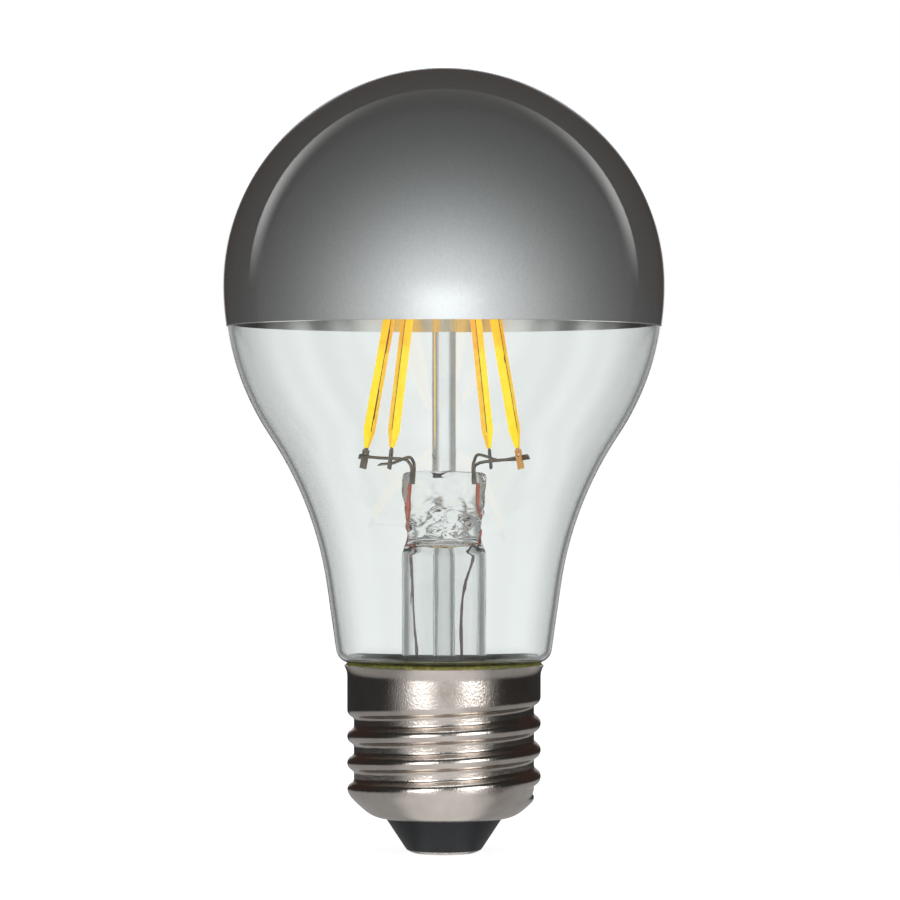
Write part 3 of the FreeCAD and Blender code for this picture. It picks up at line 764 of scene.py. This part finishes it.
# Glass stem: flare tube, pinched press, exhaust tube and centre rod
stem = {
    "tubeRadius": 5.75,
    "tubeLength": 25.0,
    "tubeSteps": 24,
    "wall": 0.8,
    "shoulder": 2.4,
    "pressHeight": 11.5,
    "pressWidth": 11.6,
    "pressThickness": 3.3,
    "pressSteps": 70,
    # rise, then width, thickness and squareness of the press there, as shares and an exponent
    "pressShape": [
        (0.00, 0.86, 1.60, 2.2),
        (0.22, 0.87, 1.40, 2.3),
        (0.42, 0.89, 1.10, 2.6),
        (0.66, 0.96, 1.00, 3.0),
        (0.90, 1.00, 1.00, 3.0),
        (1.00, 0.97, 0.85, 2.6),
    ],
    # the press's rounded top edge: its drop, then shares of the width with the height above it
    "topDrop": 0.5,
    "topRound": [(0.985, 0.18), (0.95, 0.33), (0.88, 0.44), (0.78, 0.5), (0.6, 0.52), (0.4, 0.52),
                 (0.2, 0.52), (0.0, 0.52)],
    # place (x, y, z) and half sizes of the glass gathered round each wire and the blow hole, and its push
    "lumps": [
        ((1.3, 0, 46.6), (2.0, 3.2), 0.6),
        ((-4.35, 0, 49.1), (1.6, 3.0), 0.35),
        ((4.35, 0, 50.1), (1.6, 2.4), 0.3),
        ((-0.6, 0, 50.2), (1.5, 1.4), 0.45),
        ((-0.6, 0, 44.2), (2.2, 0.9), 0.5),
        ((2.6, 0, 44.6), (1.3, 1.0), 0.5),
    ],
    "pinchRise": 2.6,
    # the folds start between two heights over the tube and end between two depths under the press's top
    "foldStart": (1.8, 3.2),
    "foldEnd": (5.2, 2.5),
    "foldScale": (0.42, 0.42, 0.6),
    "seed": 3,
    "wave": 0.55,
    "crease": 0.3,
    # the glass keeps calm beside the wires
    "calmPlace": 4.4,
    "calmShare": 0.65,
    "exhaustRadius": 1.5,
    "exhaustBore": 1.0,
    "exhaustLift": 1.0,
    "rodRadius": 1.65,
    "rodSteps": 12,
    "beadRadius": 2.5,
    "roundSegments": 96,
    "segments": 144,
}
tubeTop = bulb["sealHeight"] + stem["tubeLength"]
pressTop = tubeTop + stem["pressHeight"]
cavityTop = tubeTop + stem["shoulder"] - stem["wall"]
stemMaterial = stemGlass()


def pressRadius(angle, height):
    # Edge of the rounded oblong at a height, by straight blending between the listed sections
    rise = min(1, max(0, (height - tubeTop) / stem["pressHeight"]))
    for low, high in zip(stem["pressShape"], stem["pressShape"][1:]):
        if rise <= high[0]:
            break
    share = (rise - low[0]) / (high[0] - low[0])
    width, depth, square = [a + (b - a) * share for a, b in zip(low[1:], high[1:])]
    across = abs(math.cos(angle)) / (stem["pressWidth"] * width / 2)
    deep = abs(math.sin(angle)) / (stem["pressThickness"] * depth / 2)
    return (across ** square + deep ** square) ** (-1 / square)


def gatherGlass(place):
    # Glass gathered at the wires and round the blow hole stands out to the front and the back
    for (x, _, z), (halfWidth, halfRise), push in stem["lumps"]:
        near = ((place.x - x) / halfWidth) ** 2 + ((place.z - z) / halfRise) ** 2
        side = place.y if abs(place.y) > 0.05 else 0.05
        place.y += math.copysign(push * math.exp(-near), side) * min(1, abs(place.y))


def foldGlass(place, pinch):
    # The pinch leaves folds in the soft glass, deepest over the tube's end
    folds = smoothStep(*[tubeTop + rise for rise in stem["foldStart"]], place.z)
    folds *= 1 - smoothStep(*[pressTop - drop for drop in stem["foldEnd"]], place.z)
    point = place * Vector(stem["foldScale"])
    wave = noise.noise_vector(point * 1.1)
    crease = noise.noise_vector(point * 2.4)
    beside = math.exp(-(abs(place.x) - stem["calmPlace"]) ** 2)
    calm = (0.45 + 0.55 * folds) * (1 - stem["calmShare"] * beside)
    place += (wave * stem["wave"] + crease * stem["crease"] * folds) * calm * pinch


def makeStemFlare():
    wall, tube, shoulder = stem["wall"], stem["tubeRadius"], stem["shoulder"]
    rim = bulb["neckRadius"] - bulb["wall"] - fit
    bend = rim - tube
    low = bulb["sealHeight"] + fit
    # Up the outside from the flared rim to the press's top, then the inside of the tube
    outside = arcPoints((rim, low + bend), bend, -90, -180, 6)
    straight, steps = tubeTop - low - bend, stem["tubeSteps"]
    outside += [(tube, low + bend + straight * i / steps) for i in range(1, steps)]
    edge, steps = pressTop - stem["topDrop"], stem["pressSteps"]
    outside += [(tube, tubeTop + (edge - tubeTop) * i / steps) for i in range(steps + 1)]
    outside += [(tube * share, edge + rise) for share, rise in stem["topRound"]]
    inside = arcPoints((rim, low + bend), bend + wall, -90, -180, 6)
    inside += arcPoints((tube - shoulder, tubeTop), shoulder - wall, 0, 90, 12)
    inside += [(0.0, cavityTop)]
    bm = spun(cleaned(outside[::-1] + inside), stem["segments"])
    noise.seed_set(stem["seed"])
    for vert in bm.verts:
        place = vert.co
        outer = place.z > cavityTop + fit or math.hypot(place.x, place.y) > tube - wall / 2
        if not outer or place.z < tubeTop:
            continue
        pinch = smoothStep(tubeTop, tubeTop + stem["pinchRise"], place.z)
        edge = tube + (pressRadius(math.atan2(place.y, place.x), place.z) - tube) * pinch
        place.x *= edge / tube
        place.y *= edge / tube
        gatherGlass(place)
        foldGlass(place, pinch)
    bmesh.ops.recalc_face_normals(bm, faces=bm.faces)
    return finished(bm, "stemFlare", [stemMaterial], "stem_flare", sharp=80)


def makeExhaust():
    # A thin tube, melted shut at its lower end
    low, top = bulb["sealHeight"] + stem["exhaustLift"], cavityTop - 0.05
    radius, bore = stem["exhaustRadius"], stem["exhaustBore"]
    tip = low + radius
    outline = arcPoints((0, tip), radius, -90, 0, 10)
    outline[0] = (0.0, low)
    outline += [(radius, top), (bore, top), (bore, tip + 0.3), (bore * 0.6, tip - 0.1), (0.0, tip - 0.25)]
    bm = spun(outline, stem["roundSegments"])
    return finished(bm, "exhaustTube", [stemMaterial], "exhaust_tube")


def makeRod():
    # The rod stands on the press and ends in a bead that the support wires grow from
    bottom = pressTop + 0.03
    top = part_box("stem_rod")[1].z / mm
    bead, radius, steps = stem["beadRadius"], stem["rodRadius"], stem["rodSteps"]
    centre = top - bead
    start = math.degrees(math.asin(radius / bead)) - 90
    outline = [(0.0, bottom), (radius, bottom)]
    outline += [(radius, bottom + (centre - bottom) * i / steps) for i in range(1, steps - 1)]
    outline += arcPoints((0, centre), bead, start, 90, 8)
    outline[-1] = (0.0, top)
    bm = spun(outline, stem["roundSegments"])
    return finished(bm, "stemRod", [stemMaterial], "stem_rod")


makeStemFlare()
makeExhaust()
makeRod()
print("glass stem pinched and drawn")


# Light filaments
filament = {
    "angles": [158.0, 233.0, 57.0, 329.0],
    "length": 38.0,
    "diameter": 1.6,
    "tipDiameter": 0.7,
    "tipLength": 2.2,
    "tipSteps": 6,
    "bodySteps": 40,
    # the dipped end closes in a dome: a share of the tip's radius, its height, and where it meets the tip
    "endDome": (0.7, 0.03),
    "endRound": 0.15,
    "swell": 0.05,
    "footRadius": 11.5,
    "headRadius": 4.2,
    "lift": 3.2,
    "segments": 48,
    # where the strip's edge shows through, as a share of the radius, and the side with the thinner coat
    "seams": [(0.35, 1), (-0.32, -1), (-0.08, -1), (0.38, 1)],
    "seamWidth": 0.068,
    "markStart": 2.6,
    "markEnd": 4.4,
    # heights between which the coat is painted a deeper orange as shade from the mirror, and how much
    "mirrorShadeStart": 67.8,
    "mirrorShadeEnd": 69.3,
    "mirrorShadeShare": 0.4,
    "grain": 0.7,
}
filamentFoot = pressTop + filament["lift"]
filamentLean = filament["footRadius"] - filament["headRadius"]
filamentHead = filamentFoot + math.sqrt(filament["length"] ** 2 - filamentLean ** 2)


def phosphorCoat(name, shades, glow):
    # Phosphor in clear silicone, dipped on the strip: dense egg yellow, with a painted glow (emission) that
    # brightens it where the lamps don't reach inside the glass
    material, tree = emptyMaterial(name)
    coords = addNode(tree, "TexCoord")
    scale = [1 / (filament["grain"] * mm)] * 3
    place = addNode(tree, "Mapping", {"Scale": scale}, {"Vector": (coords, "Object")})
    grain = addNode(tree, "TexNoise", {"Scale": 1.0, "Detail": 4.0}, {"Vector": place})
    stops = [(at, colour(shade)) for at, shade in zip((0.25, 0.55, 0.8), shades)]
    shade = addNode(tree, "ValToRGB", {"stops": stops}, {"Fac": grain})
    # Painted shade: under the mirror the coat is multiplied towards a deeper orange
    split = addNode(tree, "SeparateXYZ", links={"Vector": (coords, "Object")})
    high = addNode(tree, "MapRange", {
        "interpolation_type": "SMOOTHSTEP", "From Min": filament["mirrorShadeStart"] * mm,
        "From Max": filament["mirrorShadeEnd"] * mm, "To Max": filament["mirrorShadeShare"]}, {"Value": (split, "Z")})
    deep = addNode(tree, "Mix", {"data_type": "RGBA", "blend_type": "MULTIPLY", 7: colour("#ffc070")},
                   {0: high, 6: shade})
    skin = addNode(tree, "Bump", {"Strength": 0.4, "Distance": 0.04 * mm}, {"Height": grain})
    # The emission is a painted glow in the coat's own colour, set by glow; the coat is no lamp
    surface = addNode(tree, "BsdfPrincipled", {
        "Roughness": 0.32, "IOR": 1.43, "Subsurface Weight": 0.3, "Subsurface Scale": 0.5,
        "Subsurface Radius": (0.0006, 0.0005, 0.0001), "Emission Strength": glow},
        {"Base Color": (deep, 2), "Emission Color": (deep, 2), "Normal": skin})
    addNode(tree, "OutputMaterial", links={"Surface": surface})
    return material


def filamentLine():
    # Radius and height from the lower dipped end to the upper one, which mirror each other
    body, tip, length = filament["diameter"] / 2, filament["tipDiameter"] / 2, filament["length"]
    taper, start, steps = filament["tipLength"], filament["endRound"], filament["tipSteps"]
    share, dome = filament["endDome"]
    end = [(0.0, 0.0), (tip * share, dome), (tip, start)]
    end += [(tip + (body - tip) * i / steps, start + taper * i / steps) for i in range(1, steps)]
    straight, steps = length - 2 * taper, filament["bodySteps"]
    middle = [(body, taper + straight * i / steps) for i in range(steps + 1)]
    return cleaned(end + middle + [(radius, length - height) for radius, height in end[::-1]])


def makeFilaments():
    # The last number of each coat is its painted glow
    coats = [
        phosphorCoat("phosphor silicone", ("#ffd60c", "#ffe41e", "#fff05a"), 0.85),
        phosphorCoat("phosphor silicone, thin side", ("#f8b818", "#fdc92c", "#ffdb58"), 0.8),
        phosphorCoat("phosphor seam", ("#7a5410", "#96691a", "#a97c2a"), 0.1),
        phosphorCoat("strip end under silicone", ("#4a3a18", "#5a4820", "#74602e"), 0.0),
    ]
    for index, (angle, (seam, thinSide)) in enumerate(zip(filament["angles"], filament["seams"])):
        bm = spun(filamentLine(), filament["segments"])
        for vert in bm.verts:
            around = math.atan2(vert.co.y, vert.co.x)
            lump = noise.noise(Vector((index * 7.3, vert.co.z * 0.35, around * 0.4)))
            vert.co.x *= 1 + filament["swell"] * lump
            vert.co.y *= 1 + filament["swell"] * lump
        plan = Vector((math.cos(math.radians(angle)), math.sin(math.radians(angle)), 0))
        low = plan * filament["footRadius"] + up * filamentFoot
        high = plan * filament["headRadius"] + up * filamentHead
        axis = (high - low).normalized()
        turn = axis.to_track_quat("Z", "Y").to_matrix().to_4x4()
        bmesh.ops.transform(bm, matrix=Matrix.Translation(low) @ turn, verts=bm.verts)
        bm.normal_update()
        # The strip's edge shows as a thin line, darkest at its end, with a thinner coat on one side of it
        for face in bm.faces:
            rise = (face.calc_center_median() - low).dot(axis)
            side = face.normal.x - seam
            if abs(side) < filament["seamWidth"] and face.normal.y < 0 and rise > filament["markStart"]:
                face.material_index = 3 if rise < filament["markEnd"] else 2
            elif side * thinSide > 0:
                face.material_index = 1
        finished(bm, f"filamentCoat{index + 1}", coats, f"filament_coat_{index + 1}")


makeFilaments()
print("filaments dipped")


# Wires bent by hand: each has points (across, height), a lead after the depths of its first and last one
wires = {
    "leadDiameter": 0.44,
    "sealDiameter": 0.4,
    "outerDiameter": 0.38,
    "sides": 16,
    "steps": 8,
    # the leads' ends are pressed flat: stations from the end where that starts and is done, and its size
    "pressStart": 12,
    "pressDone": 4,
    "pressThin": 0.5,
    "pressWide": 0.9,
    "leads": [
        (-0.4, 3.95, [(-4.35, 50.2), (-4.4, 52.3), (-4.75, 53.2), (-5.6, 53.7), (-8.7, 53.85), (-10.4, 54.0),
                      (-11.6, 54.05)]),
        (0.4, -9.55, [(-4.0, 50.2), (-4.05, 52.6), (-4.2, 53.4), (-4.75, 53.95), (-6.3, 53.4), (-7.1, 53.1),
                      (-8.65, 52.95)]),
        (0.4, 10.2, [(3.95, 50.2), (3.95, 52.6), (4.1, 53.4), (4.6, 54.3), (6.0, 54.0), (6.45, 53.85),
                     (7.2, 53.7)]),
        (-0.4, -6.4, [(4.15, 50.2), (4.1, 52.4), (4.5, 53.0), (5.4, 53.3), (7.2, 53.5), (9.0, 53.65),
                      (11.5, 54.0)]),
    ],
    "seals": {
        "Left": [(-4.4, 50.4), (-4.5, 48.0), (-4.65, 44.8), (-4.7, 42.6), (-4.6, 40.2)],
        "Right": [(4.4, 50.4), (4.3, 48.6), (4.35, 47.2), (4.9, 45.4), (4.6, 43.2), (4.2, 41.4)],
    },
    "outers": {
        "Left": [(-4.6, 40.2), (-4.45, 38.6), (-4.3, 34.0), (-3.9, 29.5), (-3.7, 26.5), (-4.1, 19.0),
                 (-6.4, 12.0), (-6.4, 9.0)],
        "Right": [(4.2, 41.4), (3.8, 39.4), (3.0, 37.2), (2.45, 33.8), (2.3, 30.0), (2.6, 25.0), (4.0, 18.0),
                  (6.4, 12.0), (6.4, 9.0)],
    },
    # between these heights the outer leads part, each to its side of the bulb's middle plane
    "boardBend": (26, 12),
    "boardAside": {"Left": 1.6, "Right": -1.6},
}


def smoothPath(points, steps):
    # A curve through every point, each stretch shaped by its neighbours
    ends = [points[0] * 2 - points[1]] + points + [points[-1] * 2 - points[-2]]
    path = []
    for before, start, stop, after in zip(ends, ends[1:], ends[2:], ends[3:]):
        for index in range(steps):
            t = index / steps
            bend = (2 * before - 5 * start + 4 * stop - after) * t ** 2
            twist = (3 * start - before - 3 * stop + after) * t ** 3
            path.append(0.5 * (2 * start + (stop - before) * t + bend + twist))
    return path + [points[-1]]


def drawnWire(name, points, diameter, material, node, flat=False):
    # A ring carried along the path by extruding it from station to station
    path = smoothPath(points, wires["steps"])
    count = len(path)
    side = Vector((0, 1, 0))
    stations = []
    for index, place in enumerate(path):
        along = (path[min(index + 1, count - 1)] - path[max(index - 1, 0)]).normalized()
        side = (side - along * side.dot(along)).normalized()
        press = flat * smoothStep(count - wires["pressStart"], count - wires["pressDone"], index)
        thin = side * (1 - wires["pressThin"] * press)
        wide = along.cross(side) * (1 + wires["pressWide"] * press)
        stations.append(Matrix((-wide, thin, along)).transposed().to_4x4())
        stations[-1].translation = place
    bm = bmesh.new()
    bmesh.ops.create_circle(bm, cap_ends=True, segments=wires["sides"], radius=diameter / 2,
                            matrix=stations[0])
    ring = bm.edges[:]
    for before, after in zip(stations, stations[1:]):
        grown = bmesh.ops.extrude_edge_only(bm, edges=ring)["geom"]
        ring = [item for item in grown if isinstance(item, bmesh.types.BMEdge) and item.is_boundary]
        verts = [item for item in grown if isinstance(item, bmesh.types.BMVert)]
        bmesh.ops.transform(bm, matrix=after @ before.inverted(), verts=verts)
    bmesh.ops.contextual_create(bm, geom=ring)
    bmesh.ops.recalc_face_normals(bm, faces=bm.faces)
    return finished(bm, name, [material], node, sharp=50)


def metalFinish(name, light, dark, roughness, size):
    # Plain drawn or stamped metal with tarnish in patches size across, duller where it is lighter
    return newFinish(name, {"Metallic": 1.0}, {
        "size": size, "detail": 4.0, "shades": [(0.3, dark), (0.7, light)],
        "gloss": [(0.3, roughness * 0.75), (0.7, roughness * 1.3)]})


def makeLeads(nickel):
    for index, (near, far, bends) in enumerate(wires["leads"]):
        reach = abs(bends[-1][0] - bends[0][0])
        points = []
        for across, height in bends:
            depth = near + (far - near) * abs(across - bends[0][0]) / reach
            # The places are read at the axis, so they spread with depth
            spread = 1 + depth / view["distance"]
            rise = view["height"] + (height - view["height"]) * spread
            points.append(Vector((across * spread, depth, rise)))
        drawnWire(f"leadWire{index + 1}", points, wires["leadDiameter"], nickel,
                  f"lead_wire_{index + 1}", flat=True)
    # Copper that oxidised red where the glass closed over it, and its tarnished run below
    sealCopper = metalFinish("oxidised seal copper", "#ff9478", "#dc5c42", 0.3, 0.8)
    leadCopper = metalFinish("tarnished copper lead", "#8a5f58", "#5c3a36", 0.4, 0.8)
    for side, points in wires["seals"].items():
        path = [Vector((x, 0, z)) for x, z in points]
        drawnWire(f"sealWire{side}", path, wires["sealDiameter"], sealCopper,
                  f"seal_wire_{side.lower()}")
    for side, points in wires["outers"].items():
        # The wires pass the board through holes on opposite sides of its middle
        aside = wires["boardAside"][side]
        path = [Vector((x, aside * smoothStep(*wires["boardBend"], z), z)) for x, z in points]
        drawnWire(f"outerLead{side}", path, wires["outerDiameter"], leadCopper,
                  f"outer_lead_{side.lower()}")


# CAD nodes that stay get their finishes here

def mattFinish(name, light, dark, roughness, size):
    # Pressed, moulded or lacquered stuff with a faint grain and mottle
    return newFinish(name, {"Roughness": roughness}, {
        "size": size, "detail": 4.0, "shades": [(0.3, dark), (0.7, light)], "relief": (0.03, 0.3)})


def finishNodes(nickel):
    finishes = {
        "nickel_wire": nickel,
        "lead_copper": metalFinish("tinned copper lead", "#7d7069", "#5a4c46", 0.4, 0.8),
        "copper_tab": metalFinish("stamped copper tab", "#ffc980", "#f2a456", 0.3, 0.7),
        "strip_ceramic": mattFinish("alumina strip", "#e8e6e0", "#d8d4cb", 0.5, 0.5),
        "board_laminate": mattFinish("glass-epoxy board", "#3d6b45", "#2e5637", 0.5, 1.2),
        "capacitor_sleeve": mattFinish("capacitor sleeve", "#23252a", "#1b1c20", 0.35, 1.5),
        "ferrite": mattFinish("pressed ferrite", "#3a3836", "#2a2827", 0.6, 0.5),
        "resistor_body": mattFinish("resistor lacquer", "#c8b48c", "#b49f76", 0.4, 0.8),
        "chip_plastic": mattFinish("moulded epoxy", "#222326", "#1a1b1d", 0.55, 0.3),
    }
    slots = {part["node"]: part["material_slot"] for part in frame["record"]["subparts"]}
    for name, piece in frame["nodes"].items():
        material = finishes.get(slots.get(name))
        if material is None:
            continue
        piece.data.materials.clear()
        piece.data.materials.append(material)


# Drawn nickel wire and stamped nickel strip: warm grey, softly shining
nickelWire = metalFinish("drawn nickel wire", "#a0978b", "#7a7268", 0.36, 0.9)
makeLeads(nickelWire)
finishNodes(nickelWire)
print("remaining parts finished")
